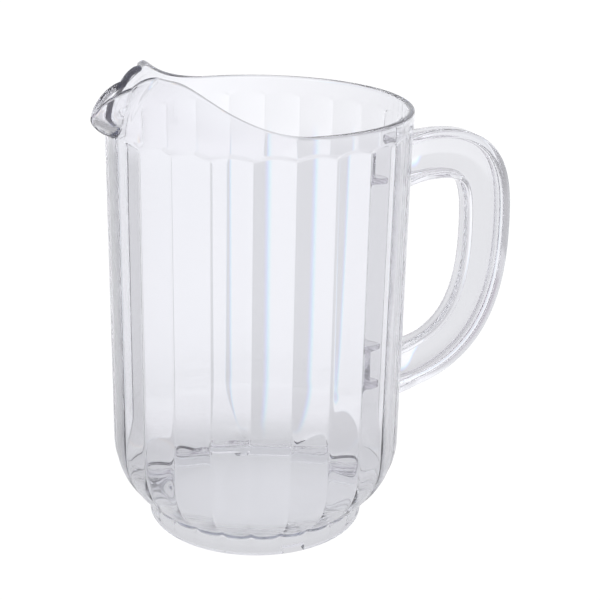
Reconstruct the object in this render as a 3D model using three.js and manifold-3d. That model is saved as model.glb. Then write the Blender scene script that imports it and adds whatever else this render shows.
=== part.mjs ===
// Clear fluted water pitcher: a moulded vessel with a drawn-up pouring rim, and a side handle.
// Millimetres, +Z up. The handle points along +X, the spout along -X, the foot stands on z = 0.

import * as THREE from 'three';
import { mergeVertices } from 'three/addons/utils/BufferGeometryUtils.js';
import Module from 'manifold-3d';

const wasm = await Module();
wasm.setup();

// Vessel wall
const rimRadius = 65.4; // outside of the wall at the rear rim
const rimHeight = 189; // rear rim above the table
const wallDraft = 0.7; // how much slimmer the wall is where it starts to round in
const shoulderHeight = 38; // height of that line above the table
const wallThickness = 2.8; // along the smooth rim band

// Foot and floor
const shoulderInset = 15.5; // how far the shoulder rounds in to the foot ring
const footHeight = 9.5; // height above the table where it meets the ring
const footDraft = 0.6; // how much slimmer the ring is on the table
const footWall = 3.4; // width of the ring that touches the table
const recessDepth = 4.5; // hollow under the floor, inside the ring
const floorThickness = 3;

// Drain notches in the foot ring, on the two sides between handle and spout
const notchWidth = 9.6;
const notchHeight = 3;

// Flutes: softly rounded facets around the outside of the wall, with a groove between each two
const fluteCount = 24;
const fluteDepth = 0.5; // grooves below the flutes' crests
const fluteSetBack = 0.2; // crests behind the smooth rim band
const fluteTopGap = 1.1; // the flutes' tops below the spout's chin
const fluteTopArch = 1.6; // the grooves stop this far below the tops
const fluteTopFade = 1.4; // length over which a flute runs out at its top
const fluteFootGap = 1; // the flutes have run out this far above the foot ring
const fluteFootArch = 4.5; // the grooves stop this far above the flutes' feet
const fluteFootFade = 3; // length over which a flute runs out at its foot

// Pouring rim: two raised wings lean in as a hood that holds back ice, with a slot to the beak
const wingRise = 16.5; // wing peaks above the rear rim
const wingLean = 15; // how far the wings' edge leans in from the wall
const wingTilt = THREE.MathUtils.degToRad(50); // slope of the leaning edge, from upright
const wingBend = 0.57; // where the wall starts to lean, as a share of the way up the rim band
const wingPeakAngle = THREE.MathUtils.degToRad(27); // from the spout axis
const wingStartAngle = THREE.MathUtils.degToRad(88); // where the rim starts to rise
const slotAngle = THREE.MathUtils.degToRad(15.5); // half of the notch between the wings
const beakDrop = 18; // beak tip below the wing peaks
const beakReach = 7.7; // beak tip beyond the wall
const beakHalfWidth = 13; // beak on either side of its middle, along the wall
const beakChin = 8.4; // depth of the rounded underside below the beak tip
const beakCheek = 16; // height over which the beak dies out above its tip
const beakRound = 0.75; // a full half round at 0.5, a softer swell above it

// Handle: an I section swept along a bow in the middle plane
const rootBelowRim = 31.5; // middle of the upper root below the rear rim
const rootAboveShoulder = 20.6; // middle of the lower root above the shoulder line
const gripClear = 46.6; // middle of the section at the grip, out from the rim
const gripBelowRoot = 35.5; // that outermost point below the upper root
const upperRise = 12.5; // how far the bow's upper handle point lies above the root
const upperSwing = 43; // and how far out from the wall
const upperDrop = 31; // pull of the upper bow at the grip
const lowerDrop = 30; // pull of the lower bow at the grip
const lowerRise = 2; // how far the lower handle point lies above the lower root
const lowerSwing = 39.5; // and how far out from the wall
const handleWidth = 10;
const handleDepth = 22; // from the finger side to the outer side
const outerFlange = 3.7;
const innerFlange = 2.7;
const webThickness = 2.6;
const rootFlare = 0.45; // share by which the flanges widen at the wall
const rootFlareLength = 16; // distance from the wall where that widening starts
const weldGap = 0.3; // seam between the handle's roots and the wall
const rootSink = 6; // the bow starts this far inside the wall before it is trimmed

// Facets
const stepsPerFlute = 4;
const shoulderSteps = 6;
const undersideSteps = 4;
const lipSteps = 7;
const bowSteps = 34;
const joinDistance = 1e-4; // corners closer than this are one corner

// Clear moulded plastic
const clearOpacity = 0.35;

const turn = 2 * Math.PI;
const roundSteps = fluteCount * stepsPerFlute;
const shoulderRadius = rimRadius - wallDraft;
const neckRadius = shoulderRadius - shoulderInset;
const footRadius = neckRadius - footDraft;
const floorTop = recessDepth + floorThickness;
const beakTip = rimHeight + wingRise - beakDrop;
const lipBase = beakTip - beakChin;
const fluteTop = lipBase - fluteTopGap;
const fluteFoot = footHeight + fluteFootGap;
const handleRootTop = rimHeight - rootBelowRim;
const handleRootBottom = shoulderHeight + rootAboveShoulder;
const gripReach = rimRadius + gripClear;
const gripHeight = handleRootTop - gripBelowRoot;
const handleReach = gripReach + handleDepth / 2;
const spoutReach = rimRadius + beakReach;
// The vessel's axis is set back so that the part's origin lies under the middle of its length.
const axisX = (spoutReach - handleReach) / 2;

const smooth = (from, to, value) => THREE.MathUtils.smoothstep(value, from, to);

// Outside radius of the plain wall at a height.
function wallRadius(z) {
  return THREE.MathUtils.mapLinear(z, shoulderHeight, rimHeight, shoulderRadius, rimRadius);
}

// Angle from the spout axis, 0 at the spout and half a turn at the handle.
function spoutAngle(angle) {
  const half = turn / 2;
  return half - Math.abs(THREE.MathUtils.euclideanModulo(angle + half, turn) - half);
}

// How much of a wing stands at an angle: none behind, all of it at the peaks.
function wingShare(angle) {
  return 1 - smooth(wingPeakAngle, wingStartAngle, spoutAngle(angle));
}

// How far the notch between the wings has opened: 1 at the spout axis, 0 at the wings.
function slotShare(angle) {
  return Math.max(0, 1 - spoutAngle(angle) / slotAngle);
}

// Height of the rim: level behind, up to the wing peaks, down through the notch to the beak tip.
function rimAt(angle) {
  return rimHeight + wingRise * wingShare(angle) - beakDrop * slotShare(angle) ** 2;
}

// How much of the full lean the rim has at an angle.
function leanShare(angle) {
  return wingShare(angle) * (1 - slotShare(angle));
}

// How far the flutes cut into the wall at an angle and height. A flute's crest faces the handle.
function fluteAt(angle, z) {
  const across = THREE.MathUtils.euclideanModulo((angle / turn) * fluteCount + 0.5, 1) - 0.5;
  const groove = (2 * across) ** 2;
  const topEnd = fluteTop - fluteTopArch * groove;
  const footEnd = fluteFoot + fluteFootArch * groove;
  const top = 1 - smooth(topEnd - fluteTopFade, topEnd, z);
  const foot = smooth(footEnd, footEnd + fluteFootFade, z);
  return (fluteSetBack + fluteDepth * groove) * top * foot;
}

// How far the beak swells out of the wall: round below its tip, dying out above it.
function beakAt(angle, z, inset) {
  const across = (spoutAngle(angle) * rimRadius) / (beakHalfWidth - inset);
  const reachDown = z < beakTip ? beakChin - inset : beakCheek;
  const upright = (z - beakTip) / reachDown;
  return beakReach * Math.max(0, 1 - across ** 2 - upright ** 2) ** beakRound;
}

// A point of the rim band: up the wall, then over in a smooth bend to the leaning edge.
function lipPoint(angle, share, inset) {
  const tilt = wingTilt * leanShare(angle);
  const rim = rimAt(angle);
  const bend = THREE.MathUtils.lerp(lipBase, rim, wingBend) - inset * Math.tan(tilt / 2);
  const wall = rimRadius - inset;
  const edge = rimRadius - wingLean * leanShare(angle) - inset * Math.cos(tilt);
  const start = new THREE.Vector2(wallRadius(lipBase) - inset, lipBase);
  const end = new THREE.Vector2(edge, rim - inset * Math.sin(tilt));
  const curve = new THREE.QuadraticBezierCurve(start, new THREE.Vector2(wall, bend), end);
  const point = curve.getPoint(share);
  return { radius: point.x + beakAt(angle, point.y, inset), z: point.y };
}

// A closed body turned about Z from rows of points; each row places its own ring.
function turnedBody(rows) {
  const profile = rows.map((row) => new THREE.Vector2(row.flat, row.level));
  const geometry = new THREE.LatheGeometry(profile, roundSteps);
  const position = geometry.attributes.position;
  for (let step = 0; step <= roundSteps; step++) {
    const angle = ((step % roundSteps) / roundSteps) * turn;
    rows.forEach((row, index) => {
      const ring = row.place ? row.place(angle) : { radius: row.flat, z: row.level };
      const x = ring.radius * Math.cos(angle);
      const y = ring.radius * Math.sin(angle);
      position.setXYZ(step * rows.length + index, x, y, ring.z);
    });
  }
  return closedSolid(geometry);
}

// Joins shared corners and drops the flat triangles at the axis, then makes a solid of it.
function closedSolid(geometry) {
  geometry.deleteAttribute('normal');
  geometry.deleteAttribute('uv');
  const joined = mergeVertices(geometry, joinDistance);
  const index = joined.index.array;
  const corners = [];
  for (let i = 0; i < index.length; i += 3) {
    const [a, b, c] = [index[i], index[i + 1], index[i + 2]];
    if (a !== b && b !== c && c !== a) corners.push(a, b, c);
  }
  const vertProperties = new Float32Array(joined.attributes.position.array);
  if (signedVolume(vertProperties, corners) < 0) {
    for (let i = 0; i < corners.length; i += 3) {
      [corners[i + 1], corners[i + 2]] = [corners[i + 2], corners[i + 1]];
    }
  }
  const triVerts = new Uint32Array(corners);
  return new wasm.Manifold(new wasm.Mesh({ numProp: 3, vertProperties, triVerts }));
}

function signedVolume(points, corners) {
  let volume = 0;
  const at = (corner) => new THREE.Vector3().fromArray(points, corner * 3);
  for (let i = 0; i < corners.length; i += 3) {
    volume += at(corners[i]).dot(at(corners[i + 1]).cross(at(corners[i + 2]))) / 6;
  }
  return volume;
}

function geometryOf(solid) {
  const mesh = solid.getMesh();
  const geometry = new THREE.BufferGeometry();
  geometry.setAttribute('position', new THREE.BufferAttribute(mesh.vertProperties, mesh.numProp));
  geometry.setIndex(new THREE.BufferAttribute(mesh.triVerts, 1));
  geometry.computeVertexNormals();
  return geometry;
}

// Points of a shoulder arc, upright at the top and ending at a given point below.
function shoulderArc(topRadius, topZ, endRadius, endZ) {
  const inward = topRadius - endRadius;
  const fall = topZ - endZ;
  const bend = (inward ** 2 + fall ** 2) / (2 * inward);
  const sweep = Math.atan2(fall, bend - inward);
  const points = [];
  for (let step = 0; step <= shoulderSteps; step++) {
    const at = sweep * (1 - step / shoulderSteps);
    points.push({ flat: topRadius - bend * (1 - Math.cos(at)), level: topZ - bend * Math.sin(at) });
  }
  return points;
}

// Rows of the fluted outside, from the foot ring's neck to the smooth band, swelled by a gap.
function outsideRows(gap) {
  const archFoot = fluteTop - fluteTopArch;
  const heights = [archFoot - fluteTopFade, archFoot, fluteTop];
  const band = heights.map((z) => ({ flat: wallRadius(z), level: z }));
  const rows = [...shoulderArc(shoulderRadius, shoulderHeight, neckRadius, footHeight), ...band];
  return rows.map(({ flat, level }) => ({
    flat,
    level,
    place: (angle) => ({ radius: flat + gap - fluteAt(angle, level), z: level }),
  }));
}

// Rows of the pouring rim, outside (inset 0) or inside (inset by the wall), going up.
function lipRows(inset) {
  const rows = [];
  for (let step = 0; step <= lipSteps; step++) {
    const share = step / lipSteps;
    const level = THREE.MathUtils.lerp(lipBase, rimHeight, share);
    const place = (angle) => lipPoint(angle, share, inset);
    rows.push({ flat: wallRadius(level) - inset, level, place });
  }
  return rows;
}

function drainNotches() {
  const length = 2 * (footRadius + footWall);
  const block = new THREE.BoxGeometry(notchWidth, length, 2 * notchHeight);
  return closedSolid(block);
}

// The underside, level in the middle, then rising with the inside's round as far as the foot ring.
function undersideArc(levelRadius, ringInside) {
  const reach = shoulderHeight - recessDepth;
  const last = Math.acos((ringInside - levelRadius) / reach);
  const points = [];
  for (let step = 0; step <= undersideSteps; step++) {
    const at = THREE.MathUtils.lerp(turn / 4, last, step / undersideSteps);
    const flat = levelRadius + reach * Math.cos(at);
    points.push({ flat, level: shoulderHeight - reach * Math.sin(at) });
  }
  return points;
}

function vesselSolid() {
  const ringInside = footRadius - footWall;
  // Inside, a quarter round runs from the wall straight into the floor.
  const insideRadius = shoulderRadius - wallThickness;
  const floorRadius = insideRadius - (shoulderHeight - floorTop);
  const underside = [
    { flat: 0, level: recessDepth },
    ...undersideArc(floorRadius, ringInside),
    { flat: ringInside, level: 0 },
    { flat: footRadius, level: 0 },
  ];
  const insideArc = shoulderArc(insideRadius, shoulderHeight, floorRadius, floorTop);
  const inside = [...lipRows(wallThickness).reverse(), ...insideArc.reverse()];
  const outside = [...underside, ...outsideRows(0), ...lipRows(0)];
  return turnedBody([...outside, ...inside, { flat: 0, level: floorTop }]).subtract(drainNotches());
}

// The I section: x runs across the handle, y from the outer side to the finger side.
function handleSection() {
  const side = handleWidth / 2;
  const web = webThickness / 2;
  const finger = handleDepth / 2;
  const pocketFinger = finger - innerFlange;
  const pocketOuter = outerFlange - finger;
  const shape = new THREE.Shape();
  shape.moveTo(-side, -finger);
  shape.lineTo(side, -finger);
  shape.lineTo(side, pocketOuter);
  shape.lineTo(web, pocketOuter);
  shape.lineTo(web, pocketFinger);
  shape.lineTo(side, pocketFinger);
  shape.lineTo(side, finger);
  shape.lineTo(-side, finger);
  shape.lineTo(-side, pocketFinger);
  shape.lineTo(-web, pocketFinger);
  shape.lineTo(-web, pocketOuter);
  shape.lineTo(-side, pocketOuter);
  shape.closePath();
  return shape;
}

// The middle line of the handle, from the upper root out to the grip and back to the lower root.
function handleBow() {
  const startTop = wallRadius(handleRootTop) - rootSink;
  const startBottom = wallRadius(handleRootBottom) - rootSink;
  const point = (x, z) => new THREE.Vector3(x, 0, z);
  const bow = new THREE.CurvePath();
  const grip = point(gripReach, gripHeight);
  bow.add(new THREE.CubicBezierCurve3(
    point(startTop, handleRootTop),
    point(wallRadius(handleRootTop) + upperSwing, handleRootTop + upperRise),
    point(gripReach, gripHeight + upperDrop),
    grip,
  ));
  bow.add(new THREE.CubicBezierCurve3(
    grip,
    point(gripReach, gripHeight - lowerDrop),
    point(wallRadius(handleRootBottom) + lowerSwing, handleRootBottom + lowerRise),
    point(startBottom, handleRootBottom),
  ));
  return bow;
}

function handleSolid() {
  const options = { steps: bowSteps, bevelEnabled: false, extrudePath: handleBow() };
  const geometry = new THREE.ExtrudeGeometry(handleSection(), options);
  const position = geometry.attributes.position;
  for (let i = 0; i < position.count; i++) {
    const clear = position.getX(i) - rimRadius;
    const flare = 1 + rootFlare * (1 - smooth(0, rootFlareLength, clear));
    position.setY(i, position.getY(i) * flare);
  }
  const rows = outsideRows(weldGap);
  const first = rows[0];
  const last = rows[rows.length - 1];
  const closing = [{ flat: 0, level: first.level }, ...rows, { flat: 0, level: last.level }];
  return closedSolid(geometry).subtract(turnedBody(closing));
}

function clearPlastic(color, roughness) {
  const look = { color, roughness, metalness: 0, transparent: true, opacity: clearOpacity };
  return new THREE.MeshStandardMaterial(look);
}

function piece(name, solid, material) {
  const mesh = new THREE.Mesh(geometryOf(solid), material);
  mesh.name = name;
  return mesh;
}

const pitcher = new THREE.Group();
pitcher.name = 'water_pitcher';
pitcher.position.x = axisX;
pitcher.add(piece('vessel', vesselSolid(), clearPlastic('#e4e8ee', 0.06)));
pitcher.add(piece('handle', handleSolid(), clearPlastic('#e1e4ea', 0.08)));

export default pitcher;
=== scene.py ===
import bpy
import bmesh
import math
from mathutils import Matrix, Vector


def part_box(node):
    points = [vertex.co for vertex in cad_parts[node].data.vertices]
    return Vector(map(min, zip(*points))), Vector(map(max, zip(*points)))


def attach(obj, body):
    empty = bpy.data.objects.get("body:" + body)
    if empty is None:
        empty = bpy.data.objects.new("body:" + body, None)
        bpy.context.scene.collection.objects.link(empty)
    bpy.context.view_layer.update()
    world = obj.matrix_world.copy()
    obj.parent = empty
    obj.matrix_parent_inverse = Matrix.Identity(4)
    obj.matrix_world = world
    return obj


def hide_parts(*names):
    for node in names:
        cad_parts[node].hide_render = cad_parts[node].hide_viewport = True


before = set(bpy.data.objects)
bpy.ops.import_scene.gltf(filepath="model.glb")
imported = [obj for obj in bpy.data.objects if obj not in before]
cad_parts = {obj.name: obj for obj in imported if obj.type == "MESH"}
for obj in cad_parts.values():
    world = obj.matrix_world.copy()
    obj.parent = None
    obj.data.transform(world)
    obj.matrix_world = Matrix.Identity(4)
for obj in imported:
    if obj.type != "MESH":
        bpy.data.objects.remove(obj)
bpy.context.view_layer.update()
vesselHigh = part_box("vessel")[1]
mm = 0.001

# The clear wall and everything moulded in one with it, in millimetres
vesselMould = {
    "rimRadius": vesselHigh.y / mm,     # outside of the rim band
    "peakHeight": vesselHigh.z / mm,    # tips of the pouring hood
    "wallDraft": 0.7,                   # the wall is this much slimmer at the shoulder
    "wallThickness": 2.8,
    "shoulderHeight": 38,
    "shoulderInset": 15.5,              # how far the shoulder rounds in to the foot ring
    "footHeight": 9.5,
    "footDraft": 0.6,
    "footWall": 3.4,
    "footEdge": 1.4,                    # rounding of the ring that touches the table
    "recessDepth": 4.5,                 # hollow under the floor
    "floorThickness": 3,
    "wingRise": 16.5,
    "wingLean": 15,
    "wingTilt": math.radians(50),
    "wingBend": 0.57,                   # height of the bend's corner, as a share of the rim band
    "wingPeakAngle": math.radians(27),
    "wingStartAngle": math.radians(88),
    "slotAngle": math.radians(15.5),
    "beakDrop": 18,
    "beakReach": 7.7,
    "beakHalfWidth": 13,
    "beakChin": 8.4,
    "beakCheek": 16,
    "beakRound": 0.75,                  # 0.5 is a full half round, more is a softer swell
    "rimBulge": 1.1,                    # how far the rim's edge is rounded up
    "notchWidth": 9.6,
    "notchHeight": 3,
    "undersideShares": (0.4, 0.8),      # rings on the level floor, as shares of its radius
    "floorShares": (0.96, 0.9, 0.7, 0.4),
    "shoulderRows": 38,
    "wallRows": 6,
    "insideRows": 16,
    "undersideRows": 8,
    "cornerRows": 5,
    "ringRows": 14,
    "ringStart": 3,                     # the rounded edge takes the place of the rows below this
    "lipRows": 30,
    "rimRows": 7,
    "sharpAngle": math.radians(40),
}
vm = vesselMould
rimHeight = vm["peakHeight"] - vm["wingRise"]
axisX = vesselHigh.x / mm - vm["rimRadius"]
shoulderRadius = vm["rimRadius"] - vm["wallDraft"]
neckRadius = shoulderRadius - vm["shoulderInset"]
footRadius = neckRadius - vm["footDraft"]
floorTop = vm["recessDepth"] + vm["floorThickness"]
beakTip = vm["peakHeight"] - vm["beakDrop"]
lipBase = beakTip - vm["beakChin"]

# Flutes: softly rounded facets with a groove between each two, in millimetres
fluteCut = {
    "count": 24,
    "depth": 0.45,                      # grooves behind the crests
    "setBack": 0.2,                     # crests behind the rim band
    "wallEnd": lipBase - 1.1,           # from here up the rim band carries the flutes on
    "top": lipBase + 3.2,
    "topArch": 1.6,                     # the grooves stop this far below the tops
    "topRunOut": 1.4,
    "edge": 0.15,                       # share of the depth that falls away close to the grooves
    "edgePower": 6.0,
    "foot": 2.4,                        # above the table, on the foot ring
    "footArch": 0.8,
    "footRunOut": 1.6,
    "neck": vm["footHeight"],
    "neckAbove": 5.5,
    "neckBelow": 3.0,
    "neckCut": 1.4,                     # the grooves are this much deeper where they cross the neck
    "beakFade": 1.0,                    # the flutes have gone where the beak swells by this much
    "steps": 22,                        # corners across one flute
    "crowding": 0.7,                    # how far these draw together at the grooves
}
fluteLengths = (
    "depth", "setBack", "top", "topArch", "topRunOut", "foot", "footArch", "footRunOut",
    "neck", "neckAbove", "neckBelow", "neckCut",
)

print("frame: axis at", round(axisX, 2), "mm, rim radius", round(vm["rimRadius"], 2), "mm")


def smooth(low, high, value):
    share = min(1, max(0, (value - low) / (high - low)))
    return share * share * (3 - 2 * share)


def lerp(start, end, share):
    return start + (end - start) * share


def newObject(name, data):
    obj = bpy.data.objects.new(name, data)
    bpy.context.scene.collection.objects.link(obj)
    return obj


def wallRadius(z):
    share = (z - vm["shoulderHeight"]) / (rimHeight - vm["shoulderHeight"])
    return lerp(shoulderRadius, vm["rimRadius"], share)


# Angle away from the spout, 0 at the beak and half a turn at the handle
def fromSpout(angle):
    return math.pi - abs((angle + math.pi) % (2 * math.pi) - math.pi)


def wingShare(angle):
    return 1 - smooth(vm["wingPeakAngle"], vm["wingStartAngle"], fromSpout(angle))


def slotShare(angle):
    return max(0, 1 - fromSpout(angle) / vm["slotAngle"])


def rimAt(angle):
    return rimHeight + vm["wingRise"] * wingShare(angle) - vm["beakDrop"] * slotShare(angle) ** 2


def leanShare(angle):
    return wingShare(angle) * (1 - slotShare(angle))


# How far the beak swells out of the wall
def beakAt(angle, z, inset):
    across = fromSpout(angle) * vm["rimRadius"] / (vm["beakHalfWidth"] - inset)
    reach = vm["beakChin"] - inset if z < beakTip else vm["beakCheek"]
    upright = (z - beakTip) / reach
    return vm["beakReach"] * max(0, 1 - across ** 2 - upright ** 2) ** vm["beakRound"]


# Point of the rim band: up the wall, then over in a bend to the leaning edge of the hood
def lipPoint(angle, share, inset):
    tilt = vm["wingTilt"] * leanShare(angle)
    edgeZ = rimAt(angle) - vm["rimBulge"] * math.cos(tilt)
    edgeR = vm["rimRadius"] - vm["wingLean"] * leanShare(angle) + vm["rimBulge"] * math.sin(tilt)
    bendZ = lerp(lipBase, edgeZ, vm["wingBend"]) - inset * math.tan(tilt / 2)
    start = Vector((wallRadius(lipBase) - inset, lipBase))
    bend = Vector((vm["rimRadius"] - inset, bendZ))
    end = Vector((edgeR - inset * math.cos(tilt), edgeZ - inset * math.sin(tilt)))
    point = start.lerp(bend, share).lerp(bend.lerp(end, share), share)
    return point.x + beakAt(angle, point.y, inset), point.y


# Rounded edge of the rim, from the outside (0) over to the inside (1)
def rimPoint(angle, share):
    outer = Vector(lipPoint(angle, 1, 0))
    inner = Vector(lipPoint(angle, 1, vm["wallThickness"]))
    half = (outer - inner) / 2
    along = Vector((-half.y, half.x)).normalized() * vm["rimBulge"]
    turned = share * math.pi
    point = (outer + inner) / 2 + half * math.cos(turned) + along * math.sin(turned)
    return point.x, point.y


# Shoulder arc, upright at the top, from the neck upwards
def shoulderArc(topRadius, topZ, endRadius, endZ, rows):
    inward = topRadius - endRadius
    fall = topZ - endZ
    bend = (inward ** 2 + fall ** 2) / (2 * inward)
    sweep = math.atan2(fall, bend - inward)
    points = []
    for step in range(rows + 1):
        at = sweep * (1 - step / rows)
        points.append((topRadius - bend * (1 - math.cos(at)), topZ - bend * math.sin(at)))
    return points


# Underside of the floor, level in the middle and rising with the inside's round to the foot ring
def undersideArc(levelRadius, ringInside):
    reach = vm["shoulderHeight"] - vm["recessDepth"]
    last = math.acos((ringInside - levelRadius) / reach)
    points = []
    for step in range(vm["undersideRows"] + 1):
        at = lerp(math.pi / 2, last, step / vm["undersideRows"])
        points.append((levelRadius + reach * math.cos(at), vm["shoulderHeight"] - reach * math.sin(at)))
    return points


# Rounded corner between two straight runs of a profile
def roundCorner(before, corner, after, radius):
    before, corner, after = Vector(before), Vector(corner), Vector(after)
    start = corner + (before - corner).normalized() * radius
    end = corner + (after - corner).normalized() * radius
    points = []
    for step in range(vm["cornerRows"] + 1):
        share = step / vm["cornerRows"]
        points.append(tuple(start.lerp(corner, share).lerp(corner.lerp(end, share), share)))
    return points


# A row gives the radius and height of its ring at each angle, and says whether flutes cut it
def ringRow(place, fluted=0.0):
    return {"place": place, "fluted": fluted}


def levelRow(point, fluted=0.0):
    return ringRow(lambda angle: point, fluted)


def outsideRows():
    arc = shoulderArc(shoulderRadius, vm["shoulderHeight"], neckRadius, vm["footHeight"], vm["shoulderRows"])
    shares = [(step + 1) / vm["wallRows"] for step in range(vm["wallRows"])]
    heights = [lerp(vm["shoulderHeight"], fluteCut["wallEnd"], share) for share in shares]
    return [levelRow(point, 1.0) for point in arc + [(wallRadius(z), z) for z in heights]]


# Rows of the rim band, upwards; only its outside is fluted
def lipRows(inset):
    fluted = 0.0 if inset else 1.0
    rows = []
    for step in range(vm["lipRows"] + 1):
        share = step / vm["lipRows"]
        rows.append(ringRow(lambda angle, share=share: lipPoint(angle, share, inset), fluted))
    return rows


# All rows of the vessel: underside, foot ring, outside, over the rim, inside, floor
def vesselRows():
    ringInside = footRadius - vm["footWall"]
    edge = vm["footEdge"]
    inside = vm["wallThickness"]
    insideRadius = shoulderRadius - inside
    floorRadius = insideRadius - (vm["shoulderHeight"] - floorTop)
    underside = [(floorRadius * share, vm["recessDepth"]) for share in vm["undersideShares"]]
    underside += undersideArc(floorRadius, ringInside)
    ringTop = underside.pop()
    underside += roundCorner(underside[-1], ringTop, (ringInside, 0), edge)
    underside += roundCorner(ringTop, (ringInside, 0), (footRadius, 0), edge)
    underside += roundCorner((ringInside, 0), (footRadius, 0), (neckRadius, vm["footHeight"]), edge)
    rows = [levelRow(point) for point in underside]
    for step in range(vm["ringStart"], vm["ringRows"]):
        share = step / vm["ringRows"]
        rows.append(levelRow((lerp(footRadius, neckRadius, share), vm["footHeight"] * share), 1.0))
    rows += outsideRows() + lipRows(0)
    for step in range(1, vm["rimRows"]):
        share = step / vm["rimRows"]
        rows.append(ringRow(lambda angle, share=share: rimPoint(angle, share)))
    rows += lipRows(inside)[::-1]
    for step in range(1, vm["wallRows"]):
        z = lerp(lipBase, vm["shoulderHeight"], step / vm["wallRows"])
        rows.append(levelRow((wallRadius(z) - inside, z)))
    innerArc = shoulderArc(insideRadius, vm["shoulderHeight"], floorRadius, floorTop, vm["insideRows"])
    floor = [(innerArc[0][0] * share, floorTop) for share in vm["floorShares"]]
    return rows + [levelRow(point) for point in innerArc[::-1] + floor]


# Angles of one ring's corners, drawn together at the grooves between the flutes
def ringAngles():
    angles = []
    for step in range(fluteCut["count"] * fluteCut["steps"]):
        flutes = step / fluteCut["steps"]
        crest = math.floor(flutes + 0.5)
        across = flutes - crest
        across = lerp(across, math.sin(math.pi * across) / 2, fluteCut["crowding"])
        angles.append(2 * math.pi * (crest + across) / fluteCut["count"])
    return angles


# A closed body turned round the vessel's axis, from its rows and the heights of its two poles
def turnedMesh(name, rows, firstPole, lastPole, gap=0.0):
    angles = ringAngles()
    count = len(angles)
    points, faces, fluted = [], [], []
    for row in rows:
        for angle in angles:
            radius, z = row["place"](angle)
            radius += gap
            points.append(((axisX + radius * math.cos(angle)) * mm, radius * math.sin(angle) * mm, z * mm))
            beakShare = smooth(0, fluteCut["beakFade"], beakAt(angle, z, 0))
            fluted.append(row["fluted"] * (1 - beakShare))
    for ring in range(len(rows) - 1):
        for step in range(count):
            following = (step + 1) % count
            low, high = ring * count, (ring + 1) * count
            faces.append((low + step, low + following, high + following, high + step))
    for pole, ring, turned in ((firstPole, 0, True), (lastPole, len(rows) - 1, False)):
        points.append((axisX * mm, 0, pole * mm))
        fluted.append(0.0)
        centre = len(points) - 1
        for step in range(count):
            following = (step + 1) % count
            pair = (ring * count + step, ring * count + following)
            faces.append((centre, pair[1], pair[0]) if turned else (centre, pair[0], pair[1]))
    mesh = bpy.data.meshes.new(name)
    mesh.from_pydata(points, [], faces)
    attribute = mesh.attributes.new("fluted", "FLOAT", "POINT")
    attribute.data.foreach_set("value", fluted)
    return newObject(name, mesh)


# Small helpers for building node trees
def mathNode(tree, operation, first, second=None):
    node = tree.nodes.new("ShaderNodeMath")
    node.operation = operation
    for socket, value in zip(node.inputs, (first, second)):
        if value is None:
            continue
        if isinstance(value, (int, float)):
            socket.default_value = value
        else:
            tree.links.new(value, socket)
    return node.outputs[0]


def newGroupTree(name, kind, inputs, outputs):
    tree = bpy.data.node_groups.new(name, kind)
    for label, socketType in inputs:
        tree.interface.new_socket(name=label, in_out="INPUT", socket_type=socketType)
    for label, socketType in outputs:
        tree.interface.new_socket(name=label, in_out="OUTPUT", socket_type=socketType)
    return tree, tree.nodes.new("NodeGroupInput"), tree.nodes.new("NodeGroupOutput")


# A geometry tree with one geometry in and out, and inputs for its sizes
def newShapeTree(name, sizes):
    geometry = ("Geometry", "NodeSocketGeometry")
    return newGroupTree(name, "GeometryNodeTree", [geometry] + sizes, [geometry])


def finishTree(tree, geometry, result, material):
    realize = tree.nodes.new("GeometryNodeRealizeInstances")
    paint = tree.nodes.new("GeometryNodeSetMaterial")
    paint.inputs["Material"].default_value = material
    tree.links.new(geometry, realize.inputs["Geometry"])
    tree.links.new(realize.outputs["Geometry"], paint.inputs["Geometry"])
    tree.links.new(paint.outputs["Geometry"], result.inputs["Geometry"])


def addTree(obj, name, tree, values):
    modifier = obj.modifiers.new(name, "NODES")
    modifier.node_group = tree
    for item in tree.interface.items_tree:
        if item.item_type == "SOCKET" and item.in_out == "INPUT" and item.name in values:
            modifier[item.identifier] = values[item.name]


def toPlainMesh(obj, name):
    depsgraph = bpy.context.evaluated_depsgraph_get()
    mesh = bpy.data.meshes.new_from_object(obj.evaluated_get(depsgraph), depsgraph=depsgraph)
    mesh.name = name
    made = newObject(name, mesh)
    bpy.data.objects.remove(obj)
    return made


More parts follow.
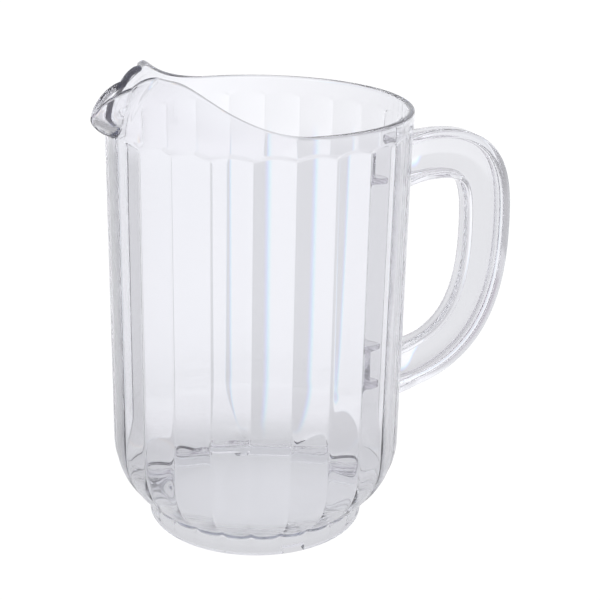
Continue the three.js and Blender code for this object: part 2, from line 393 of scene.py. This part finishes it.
# Flutes: each crest stands a little behind the rim band, and the grooves end in round arches
def fluteTree(material):
    labels = ("axisX", "count", "edge") + fluteLengths
    tree, source, result = newShapeTree("cutFlutes", [(label, "NodeSocketFloat") for label in labels])
    size = source.outputs

    def calc(operation, first, second=None):
        return mathNode(tree, operation, first, second)

    def runOut(distance, length):
        fade = tree.nodes.new("ShaderNodeMapRange")
        fade.interpolation_type = "SMOOTHSTEP"
        tree.links.new(calc("DIVIDE", distance, length), fade.inputs["Value"])
        return fade.outputs["Result"]

    position = tree.nodes.new("GeometryNodeInputPosition")
    parts = tree.nodes.new("ShaderNodeSeparateXYZ")
    tree.links.new(position.outputs[0], parts.inputs[0])
    height = parts.outputs["Z"]
    angle = calc("ARCTAN2", parts.outputs["Y"], calc("SUBTRACT", parts.outputs["X"], size["axisX"]))
    flutes = calc("MULTIPLY", calc("DIVIDE", angle, 2 * math.pi), size["count"])
    across = calc("SUBTRACT", calc("FRACT", calc("ADD", flutes, 0.5)), 0.5)
    doubled = calc("MULTIPLY", across, 2.0)

    # Section: 0 on a crest, 1 in a groove, with a share of the fall kept for the groove's edges
    groove = calc("MULTIPLY", doubled, doubled)
    close = calc("SUBTRACT", calc("POWER", groove, fluteCut["edgePower"]), groove)
    profile = calc("ADD", groove, calc("MULTIPLY", close, size["edge"]))
    section = calc("ADD", calc("MULTIPLY", profile, size["depth"]), size["setBack"])

    # Ends of the flutes, at the rim band and on the foot ring
    topEnd = calc("SUBTRACT", size["top"], calc("MULTIPLY", groove, size["topArch"]))
    footEnd = calc("ADD", size["foot"], calc("MULTIPLY", groove, size["footArch"]))
    upper = runOut(calc("SUBTRACT", topEnd, height), size["topRunOut"])
    lower = runOut(calc("SUBTRACT", height, footEnd), size["footRunOut"])
    flute = calc("MULTIPLY", calc("MULTIPLY", section, upper), lower)

    # Deeper grooves across the neck
    aboveNeck = calc("SUBTRACT", height, size["neck"])
    overNeck = runOut(calc("SUBTRACT", size["neckAbove"], aboveNeck), size["neckAbove"])
    underNeck = runOut(calc("ADD", aboveNeck, size["neckBelow"]), size["neckBelow"])
    neck = calc("MULTIPLY", calc("MULTIPLY", overNeck, underNeck), size["neckCut"])
    neck = calc("MULTIPLY", neck, calc("MULTIPLY", groove, groove))

    mask = tree.nodes.new("GeometryNodeInputNamedAttribute")
    mask.data_type = "FLOAT"
    mask.inputs["Name"].default_value = "fluted"
    cut = calc("MULTIPLY", calc("ADD", flute, neck), mask.outputs[0])
    outward = tree.nodes.new("ShaderNodeCombineXYZ")
    tree.links.new(calc("MULTIPLY", calc("COSINE", angle), cut), outward.inputs["X"])
    tree.links.new(calc("MULTIPLY", calc("SINE", angle), cut), outward.inputs["Y"])
    inward = tree.nodes.new("ShaderNodeVectorMath")
    inward.operation = "SCALE"
    inward.inputs["Scale"].default_value = -1.0
    tree.links.new(outward.outputs[0], inward.inputs[0])
    place = tree.nodes.new("GeometryNodeSetPosition")
    tree.links.new(source.outputs["Geometry"], place.inputs["Geometry"])
    tree.links.new(inward.outputs[0], place.inputs["Offset"])
    finishTree(tree, place.outputs["Geometry"], result, material)
    return tree


def cutFlutes(obj, material):
    values = {label: fluteCut[label] * mm for label in fluteLengths}
    values["axisX"] = axisX * mm
    values["count"] = float(fluteCut["count"])
    values["edge"] = fluteCut["edge"]
    addTree(obj, "flutes", fluteTree(material), values)


def boxObject(name, low, high):
    mesh = bpy.data.meshes.new(name)
    shape = bmesh.new()
    bmesh.ops.create_cube(shape, size=1.0)
    for vert in shape.verts:
        vert.co = Vector([lerp(a, b, c + 0.5) for a, b, c in zip(low, high, vert.co)])
    shape.to_mesh(mesh)
    shape.free()
    return newObject(name, mesh)


def subtract(obj, cutter, name):
    modifier = obj.modifiers.new("trim", "BOOLEAN")
    modifier.operation = "DIFFERENCE"
    modifier.solver = "EXACT"
    modifier.object = cutter
    made = toPlainMesh(obj, name)
    bpy.data.objects.remove(cutter)
    return made


def polish(obj, sharpAngle):
    mesh = obj.data
    mesh.polygons.foreach_set("use_smooth", [True] * len(mesh.polygons))
    mesh.set_sharp_from_angle(angle=sharpAngle)
    mesh.update()


def buildVessel(material):
    blank = turnedMesh("vesselBlank", vesselRows(), vm["recessDepth"], floorTop)
    cutFlutes(blank, material)
    body = toPlainMesh(blank, "vesselFluted")
    reach = 2 * footRadius * mm
    half = vm["notchWidth"] / 2 * mm
    low = (axisX * mm - half, -reach, -half)
    high = (axisX * mm + half, reach, vm["notchHeight"] * mm)
    vessel = subtract(body, boxObject("drainNotch", low, high), "pitcherVessel")
    polish(vessel, vm["sharpAngle"])
    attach(vessel, "root")
    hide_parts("vessel")
    print("vessel:", len(vessel.data.polygons), "faces")


# The handle: an I section drawn along a bow, flared where it joins the wall, in millimetres
handleBow = {
    "rootBelowRim": 31.5,
    "rootAboveShoulder": 20.6,
    "gripClear": 46.6,                  # middle of the grip out from the rim
    "gripBelowRoot": 35.5,
    "upperRise": 12.5,
    "upperSwing": 43,
    "upperDrop": 31,
    "lowerDrop": 30,
    "lowerRise": 2,
    "lowerSwing": 39.5,
    "width": 10,
    "depth": 22,                        # from the finger side to the outer side
    "outerFlange": 3.7,
    "innerFlange": 2.7,
    "web": 2.6,
    "edgeRadius": 0.9,
    "edgeSteps": 5,
    "rootFlare": 0.45,                  # share by which the flanges widen at the wall
    "rootFlareLength": 16,
    "rootSink": 6,                      # the bow starts inside the wall and is trimmed
    "seam": 0.15,
    "curveSteps": 64,
    "steps": 440,
    "mergeReach": 0.001,
    "sharpAngle": math.radians(35),
}
hb = handleBow


def sectionCurve():
    side, web, finger = hb["width"] / 2, hb["web"] / 2, hb["depth"] / 2
    pocketFinger, pocketOuter = finger - hb["innerFlange"], hb["outerFlange"] - finger
    half = [(side, -finger), (side, pocketOuter), (web, pocketOuter)]
    half += [(web, pocketFinger), (side, pocketFinger), (side, finger)]
    outline = half + [(-x, y) for x, y in half[::-1]]
    curve = bpy.data.curves.new("handleSection", "CURVE")
    curve.dimensions = "3D"
    spline = curve.splines.new("POLY")
    spline.points.add(len(outline) - 1)
    for point, (x, y) in zip(spline.points, outline):
        point.co = (x * mm, y * mm, 0, 1)
    spline.use_cyclic_u = True
    return newObject("handleSection", curve)


# The bow's three stops, each with its place and the pulls before and after it
def bowCurve():
    top = rimHeight - hb["rootBelowRim"]
    bottom = vm["shoulderHeight"] + hb["rootAboveShoulder"]
    topWall, bottomWall = wallRadius(top), wallRadius(bottom)
    gripX, gripZ = vm["rimRadius"] + hb["gripClear"], top - hb["gripBelowRoot"]
    sink = hb["rootSink"]
    stops = [
        ((topWall - sink, top), None, (topWall + hb["upperSwing"], top + hb["upperRise"])),
        ((gripX, gripZ), (gripX, gripZ + hb["upperDrop"]), (gripX, gripZ - hb["lowerDrop"])),
        ((bottomWall - sink, bottom), (bottomWall + hb["lowerSwing"], bottom + hb["lowerRise"]), None),
    ]
    curve = bpy.data.curves.new("handleBow", "CURVE")
    curve.dimensions = "3D"
    spline = curve.splines.new("BEZIER")
    spline.bezier_points.add(len(stops) - 1)
    spline.resolution_u = hb["curveSteps"]

    def spot(point):
        return Vector(((axisX + point[0]) * mm, 0, point[1] * mm))

    for bezier, (point, before, after) in zip(spline.bezier_points, stops):
        bezier.handle_left_type = bezier.handle_right_type = "FREE"
        bezier.co = spot(point)
        bezier.handle_left = spot(before or point)
        bezier.handle_right = spot(after or point)
    return newObject("handleBow", curve)


def sweepTree(section, material):
    sizes = [("Steps", "NodeSocketInt")]
    sizes += [(label, "NodeSocketFloat") for label in ("Edge Radius", "Flare", "Flare Start", "Flare End")]
    tree, source, result = newShapeTree("sweepHandle", sizes)
    even = tree.nodes.new("GeometryNodeResampleCurve")
    tree.links.new(source.outputs["Geometry"], even.inputs["Curve"])
    tree.links.new(source.outputs["Steps"], even.inputs["Count"])
    info = tree.nodes.new("GeometryNodeObjectInfo")
    info.inputs["Object"].default_value = section
    fillet = tree.nodes.new("GeometryNodeFilletCurve")
    fillet.mode = "POLY"
    fillet.inputs["Count"].default_value = hb["edgeSteps"]
    fillet.inputs["Limit Radius"].default_value = True
    tree.links.new(info.outputs["Geometry"], fillet.inputs["Curve"])
    tree.links.new(source.outputs["Edge Radius"], fillet.inputs["Radius"])
    sweep = tree.nodes.new("GeometryNodeCurveToMesh")
    sweep.inputs["Fill Caps"].default_value = True
    tree.links.new(even.outputs["Curve"], sweep.inputs["Curve"])
    tree.links.new(fillet.outputs["Curve"], sweep.inputs["Profile Curve"])
    position = tree.nodes.new("GeometryNodeInputPosition")
    parts = tree.nodes.new("ShaderNodeSeparateXYZ")
    tree.links.new(position.outputs[0], parts.inputs[0])
    fade = tree.nodes.new("ShaderNodeMapRange")
    fade.interpolation_type = "SMOOTHSTEP"
    tree.links.new(parts.outputs["X"], fade.inputs["Value"])
    tree.links.new(source.outputs["Flare Start"], fade.inputs["From Min"])
    tree.links.new(source.outputs["Flare End"], fade.inputs["From Max"])
    near = mathNode(tree, "SUBTRACT", 1.0, fade.outputs["Result"])
    flare = mathNode(tree, "MULTIPLY", near, source.outputs["Flare"])
    offset = tree.nodes.new("ShaderNodeCombineXYZ")
    tree.links.new(mathNode(tree, "MULTIPLY", flare, parts.outputs["Y"]), offset.inputs["Y"])
    place = tree.nodes.new("GeometryNodeSetPosition")
    tree.links.new(sweep.outputs["Mesh"], place.inputs["Geometry"])
    tree.links.new(offset.outputs[0], place.inputs["Offset"])
    finishTree(tree, place.outputs["Geometry"], result, material)
    return tree


# The wall's outside as a full body, swelled by the seam, to trim the handle's roots
def wallEnvelope(material):
    envelope = turnedMesh("wallEnvelope", outsideRows(), vm["footHeight"], fluteCut["wallEnd"], hb["seam"])
    cutFlutes(envelope, material)
    return toPlainMesh(envelope, "wallEnvelope")


def buildHandle(material):
    section = sectionCurve()
    bow = bowCurve()
    flareStart = axisX + vm["rimRadius"]
    addTree(bow, "sweep", sweepTree(section, material), {
        "Steps": hb["steps"],
        "Edge Radius": hb["edgeRadius"] * mm,
        "Flare": hb["rootFlare"],
        "Flare Start": flareStart * mm,
        "Flare End": (flareStart + hb["rootFlareLength"]) * mm,
    })
    swept = toPlainMesh(bow, "handleSwept")
    bpy.data.objects.remove(section)
    shape = bmesh.new()
    shape.from_mesh(swept.data)
    bmesh.ops.remove_doubles(shape, verts=shape.verts, dist=hb["mergeReach"] * mm)
    bmesh.ops.recalc_face_normals(shape, faces=shape.faces)
    shape.to_mesh(swept.data)
    shape.free()
    handle = subtract(swept, wallEnvelope(material), "pitcherHandle")
    polish(handle, hb["sharpAngle"])
    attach(handle, "root")
    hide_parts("handle")
    print("handle:", len(handle.data.polygons), "faces")


# Clear plastic, alike in both pieces
clearBody = {
    "ior": 1.57,
    "clearness": 0.975,                 # the rest is a faint haze
    "flowStrength": 0.5,
    "bodyColour": (0.42, 0.46, 0.58, 1),
    "bodyDensity": 7.0,
    "flowDetail": 1.0,
    "scuffDetail": 3.0,
    "scuffFrom": 0.62,                  # noise from here up shows as a handling mark
    "scuffTo": 0.85,
}
vesselClear = {
    "flowDepth": 0.12,
    "Clear Colour": (0.975, 0.975, 0.985, 1),
    "Thick Colour": (0.955, 0.958, 0.972, 1),
    "Flow Scale": 16.0,
    "Polish": 0.004,
    "Scuff": 0.012,
    "Scuff Scale": 700.0,
}
handleClear = {
    "flowDepth": 0.08,
    "Clear Colour": (0.97, 0.97, 0.98, 1),
    "Thick Colour": (0.945, 0.948, 0.962, 1),
    "Flow Scale": 24.0,
    "Polish": 0.004,
    "Scuff": 0.004,
    "Scuff Scale": 800.0,
}


# Faint tint that drifts through the moulding, fine handling marks, slow flow waves
def mouldGroup():
    inputs = [(label, "NodeSocketColor") for label in ("Clear Colour", "Thick Colour")]
    inputs += [(label, "NodeSocketFloat") for label in ("Flow Scale", "Polish", "Scuff", "Scuff Scale")]
    outputs = [("Colour", "NodeSocketColor"), ("Roughness", "NodeSocketFloat"), ("Height", "NodeSocketFloat")]
    tree, source, result = newGroupTree("mouldedClear", "ShaderNodeTree", inputs, outputs)
    place = tree.nodes.new("ShaderNodeTexCoord")
    flow = tree.nodes.new("ShaderNodeTexNoise")
    tree.links.new(place.outputs["Object"], flow.inputs["Vector"])
    tree.links.new(source.outputs["Flow Scale"], flow.inputs["Scale"])
    flow.inputs["Detail"].default_value = clearBody["flowDetail"]
    tint = tree.nodes.new("ShaderNodeMix")
    tint.data_type = "RGBA"
    tree.links.new(flow.outputs["Fac"], tint.inputs["Factor"])
    tree.links.new(source.outputs["Clear Colour"], tint.inputs["A"])
    tree.links.new(source.outputs["Thick Colour"], tint.inputs["B"])
    tree.links.new(tint.outputs["Result"], result.inputs["Colour"])
    scratch = tree.nodes.new("ShaderNodeTexNoise")
    tree.links.new(place.outputs["Object"], scratch.inputs["Vector"])
    tree.links.new(source.outputs["Scuff Scale"], scratch.inputs["Scale"])
    scratch.inputs["Detail"].default_value = clearBody["scuffDetail"]
    marks = tree.nodes.new("ShaderNodeMapRange")
    marks.inputs["From Min"].default_value = clearBody["scuffFrom"]
    marks.inputs["From Max"].default_value = clearBody["scuffTo"]
    tree.links.new(scratch.outputs["Fac"], marks.inputs["Value"])
    scuffed = mathNode(tree, "MULTIPLY", marks.outputs["Result"], source.outputs["Scuff"])
    rough = mathNode(tree, "ADD", scuffed, source.outputs["Polish"])
    tree.links.new(rough, result.inputs["Roughness"])
    tree.links.new(flow.outputs["Fac"], result.inputs["Height"])
    return tree


def clearPlastic(name, group, settings):
    material = bpy.data.materials.new(name)
    material.use_nodes = True
    tree = material.node_tree
    shader = tree.nodes["Principled BSDF"]
    shader.inputs["IOR"].default_value = clearBody["ior"]
    shader.inputs["Transmission Weight"].default_value = clearBody["clearness"]
    shader.inputs["Metallic"].default_value = 0.0
    look = tree.nodes.new("ShaderNodeGroup")
    look.node_tree = group
    for socket in look.inputs:
        socket.default_value = settings[socket.name]
    tree.links.new(look.outputs["Colour"], shader.inputs["Base Color"])
    tree.links.new(look.outputs["Roughness"], shader.inputs["Roughness"])
    bump = tree.nodes.new("ShaderNodeBump")
    bump.inputs["Strength"].default_value = clearBody["flowStrength"]
    bump.inputs["Distance"].default_value = settings["flowDepth"] * mm
    tree.links.new(look.outputs["Height"], bump.inputs["Height"])
    tree.links.new(bump.outputs["Normal"], shader.inputs["Normal"])
    body = tree.nodes.new("ShaderNodeVolumeAbsorption")
    body.inputs["Color"].default_value = clearBody["bodyColour"]
    body.inputs["Density"].default_value = clearBody["bodyDensity"]
    tree.links.new(body.outputs["Volume"], tree.nodes["Material Output"].inputs["Volume"])
    return material


# Camera: the photographed view, lengths in millimetres
cameraView = {
    "lens": 84.6,
    "sensor": 36.0,
    "away": 588,
    "height": 312,
    "round": math.radians(20.5),        # the camera's side, turned from square-on towards the spout
    "yaw": math.radians(1.83),
    "pitch": math.radians(19.73),
    "roll": math.radians(1.25),
}


def placeCamera():
    cv = cameraView
    data = bpy.data.cameras.new("photoCamera")
    data.lens = cv["lens"]
    data.sensor_width = cv["sensor"]
    camera = newObject("photoCamera", data)
    turn = Matrix.Rotation(-cv["round"], 3, "Z")
    spot = turn @ Vector((0, -cv["away"], cv["height"])) + Vector((axisX, 0, 0))
    level = math.cos(cv["pitch"])
    ahead = Vector((math.sin(cv["yaw"]) * level, math.cos(cv["yaw"]) * level, -math.sin(cv["pitch"])))
    aim = (turn @ ahead).to_track_quat("-Z", "Y").to_matrix() @ Matrix.Rotation(cv["roll"], 3, "Z")
    camera.matrix_world = Matrix.Translation(spot * mm) @ aim.to_4x4()
    bpy.context.scene.camera = camera
    print("camera at", [round(value, 3) for value in camera.location])


# Studio: a white ground for the camera, a bright strip and paler sides round the pitcher, in metres
studio = {
    "floorSize": 12.0,
    "floorCorners": 4,
    "floorDrop": 0.0006,
    "floorGlow": 1.05,
    "backTint": (1.135, 1.14, 1.17),
    "frontTint": (0.72, 0.66, 0.74),
    "backStart": 0.25,                  # how far a direction points away from the camera
    "backEnd": 0.75,
    "topStart": 0.55,                   # how far a direction points up
    "topEnd": 0.95,
    "tableStart": -0.15,
    "tableEnd": -0.02,
    "tableShare": 0.8,
    "lowStart": -0.52,
    "lowEnd": -0.33,
    "lowTone": 0.8,
    "stripLeft": math.radians(-12.6),   # sideways from the camera's line
    "stripRight": math.radians(2.9),
    "stripSoft": math.radians(0.8),
    "fringe": math.radians(0.35),       # red to green to blue, as the plastic parts the colours
    "stripGlow": 0.98,
    "sideTone": 0.77,
    "hazeLow": -0.245,                  # from here up the strip gives way to a slow fade
    "hazeHigh": -0.215,
    "hazeLeft": math.radians(-14),
    "hazeRight": math.radians(13),
    "hazeTone": 0.82,
    "darkLeft": math.radians(-32),
    "darkStart": math.radians(-14),
    "darkTone": 0.74,
    "shadeSize": 0.2,                   # the table under the pitcher, in its own shade
    "shadeCorners": 64,
    "shadeDrop": 0.0002,
    "shadeTint": (0.81, 0.815, 0.84),
    "shadeMiddle": 0.012,
    "shadeEdge": 0.05,
    "shadeTone": 0.86,
    "shadeNear": 0.06,
    "shadeFar": 0.11,
    "notchShade": 0.048,                # the shaded table that shows in the open notch
    "notchDrop": 0.0001,
    "notchTint": (0.69, 0.69, 0.72),
    "lightBounces": 128,                # light runs a long way inside the clear wall
}


def glowMaterial(name, colour, strength):
    material = bpy.data.materials.new(name)
    material.use_nodes = True
    shader = material.node_tree.nodes["Principled BSDF"]
    shader.inputs["Base Color"].default_value = (0, 0, 0, 1)
    shader.inputs["Roughness"].default_value = 1.0
    shader.inputs["Specular IOR Level"].default_value = 0.0
    shader.inputs["Emission Color"].default_value = (*colour, 1)
    shader.inputs["Emission Strength"].default_value = strength
    return material


def stagePanel(name, reach, corners, drop, material):
    mesh = bpy.data.meshes.new(name)
    turns = [2 * math.pi * (corner + 0.5) / corners for corner in range(corners)]
    points = [(reach * math.cos(turn), reach * math.sin(turn), 0) for turn in turns]
    mesh.from_pydata(points, [], [tuple(range(corners))])
    mesh.materials.append(material)
    obj = newObject(name, mesh)
    obj.location = (axisX * mm, 0, -drop)
    obj.rotation_euler = (0, 0, -cameraView["round"])
    return obj


def seenByCameraOnly(obj):
    obj.visible_transmission = False
    obj.visible_glossy = False
    obj.visible_diffuse = False


def rangeNode(tree, value, low, high, lowTone, highTone):
    node = tree.nodes.new("ShaderNodeMapRange")
    node.interpolation_type = "SMOOTHSTEP"
    tree.links.new(value, node.inputs["Value"])
    for label, number in (("From Min", low), ("From Max", high), ("To Min", lowTone), ("To Max", highTone)):
        node.inputs[label].default_value = number
    return node.outputs["Result"]


# The strip's brightness for one colour: full inside it, dimmer at its sides
def stripTone(tree, side, shift):
    left = studio["stripLeft"] + shift
    right = studio["stripRight"] + shift
    half = studio["stripSoft"] / 2
    fromLeft = rangeNode(tree, side, left - half, left + half, studio["sideTone"], 1.0)
    toRight = rangeNode(tree, side, right - half, right + half, 1.0, studio["sideTone"])
    return mathNode(tree, "MULTIPLY", mathNode(tree, "MULTIPLY", fromLeft, toRight), studio["stripGlow"])


# A value that goes from one to another as a share rises
def mixValue(tree, first, second, share):
    gap = mathNode(tree, "SUBTRACT", second, first)
    return mathNode(tree, "ADD", first, mathNode(tree, "MULTIPLY", gap, share))


def dotNode(tree, vector, direction):
    node = tree.nodes.new("ShaderNodeVectorMath")
    node.operation = "DOT_PRODUCT"
    tree.links.new(vector, node.inputs[0])
    node.inputs[1].default_value = direction
    return node.outputs["Value"]


def tintNode(tree, blend, first, second, factor):
    node = tree.nodes.new("ShaderNodeMix")
    node.data_type = "RGBA"
    node.blend_type = blend
    for label, value in (("A", first), ("B", second), ("Factor", factor)):
        if isinstance(value, tuple):
            node.inputs[label].default_value = (*value, 1)
        elif isinstance(value, float):
            node.inputs[label].default_value = value
        else:
            tree.links.new(value, node.inputs[label])
    return node.outputs["Result"]


# The light that comes from each direction
def buildSky():
    world = bpy.data.worlds.new("studioSky")
    world.use_nodes = True
    bpy.context.scene.world = world
    tree = world.node_tree
    way = tree.nodes.new("ShaderNodeTexCoord").outputs["Generated"]
    turned = cameraView["round"]
    behind = dotNode(tree, way, (math.sin(turned), math.cos(turned), 0))
    aside = dotNode(tree, way, (math.cos(turned), -math.sin(turned), 0))
    up = dotNode(tree, way, (0, 0, 1))
    back = rangeNode(tree, behind, studio["backStart"], studio["backEnd"], 0.0, 1.0)
    above = rangeNode(tree, up, studio["topStart"], studio["topEnd"], 0.0, 1.0)
    table = rangeNode(tree, up, studio["tableStart"], studio["tableEnd"], studio["tableShare"], 0.0)
    lit = mathNode(tree, "MAXIMUM", mathNode(tree, "MAXIMUM", back, above), table)
    sky = tintNode(tree, "MIX", studio["frontTint"], studio["backTint"], lit)
    side = mathNode(tree, "ARCTAN2", aside, behind)
    high = rangeNode(tree, up, studio["hazeLow"], studio["hazeHigh"], 0.0, 1.0)
    haze = rangeNode(tree, side, studio["hazeLeft"], studio["hazeRight"], 1.0, studio["hazeTone"])
    low = rangeNode(tree, up, studio["lowStart"], studio["lowEnd"], studio["lowTone"], 1.0)
    dark = rangeNode(tree, side, studio["darkLeft"], studio["darkStart"], studio["darkTone"], 1.0)
    even = mathNode(tree, "MULTIPLY", low, dark)
    tones = tree.nodes.new("ShaderNodeCombineColor")
    for label, shift in (("Red", -studio["fringe"]), ("Green", 0.0), ("Blue", studio["fringe"])):
        tone = mixValue(tree, stripTone(tree, side, shift), haze, high)
        tree.links.new(mathNode(tree, "MULTIPLY", tone, even), tones.inputs[label])
    colour = tintNode(tree, "MULTIPLY", sky, tones.outputs["Color"], 1.0)
    tree.links.new(colour, tree.nodes["Background"].inputs["Color"])


# The table's shade, paler in the middle and gone further out
def shadeMaterial():
    material = glowMaterial("tableShade", studio["shadeTint"], 1.0)
    tree = material.node_tree
    shader = tree.nodes["Principled BSDF"]
    place = tree.nodes.new("ShaderNodeTexCoord")
    reach = tree.nodes.new("ShaderNodeVectorMath")
    reach.operation = "LENGTH"
    tree.links.new(place.outputs["Object"], reach.inputs[0])
    away = reach.outputs["Value"]
    tone = rangeNode(tree, away, studio["shadeMiddle"], studio["shadeEdge"], 1.0, studio["shadeTone"])
    tree.links.new(tone, shader.inputs["Emission Strength"])
    fade = rangeNode(tree, away, studio["shadeNear"], studio["shadeFar"], 1.0, 0.0)
    tree.links.new(fade, shader.inputs["Alpha"])
    return material


def buildStudio():
    pale = glowMaterial("paleFloor", (1, 1, 1), studio["floorGlow"])
    floor = stagePanel("studioFloor", studio["floorSize"], studio["floorCorners"], studio["floorDrop"], pale)
    seenByCameraOnly(floor)
    corners = studio["shadeCorners"]
    shade = stagePanel("tableShade", studio["shadeSize"], corners, studio["shadeDrop"], shadeMaterial())
    shade.visible_camera = False
    dim = glowMaterial("notchShade", studio["notchTint"], 1.0)
    seenByCameraOnly(stagePanel("notchShade", studio["notchShade"], corners, studio["notchDrop"], dim))
    buildSky()
    print("studio ready")


placeCamera()
buildStudio()
mould = mouldGroup()
buildVessel(clearPlastic("clearVessel", mould, vesselClear))
buildHandle(clearPlastic("clearHandle", mould, handleClear))
scene = bpy.context.scene
scene.view_settings.view_transform = "Standard"
scene.cycles.max_bounces = studio["lightBounces"]
scene.cycles.transmission_bounces = studio["lightBounces"]
scene.cycles.glossy_bounces = studio["lightBounces"]
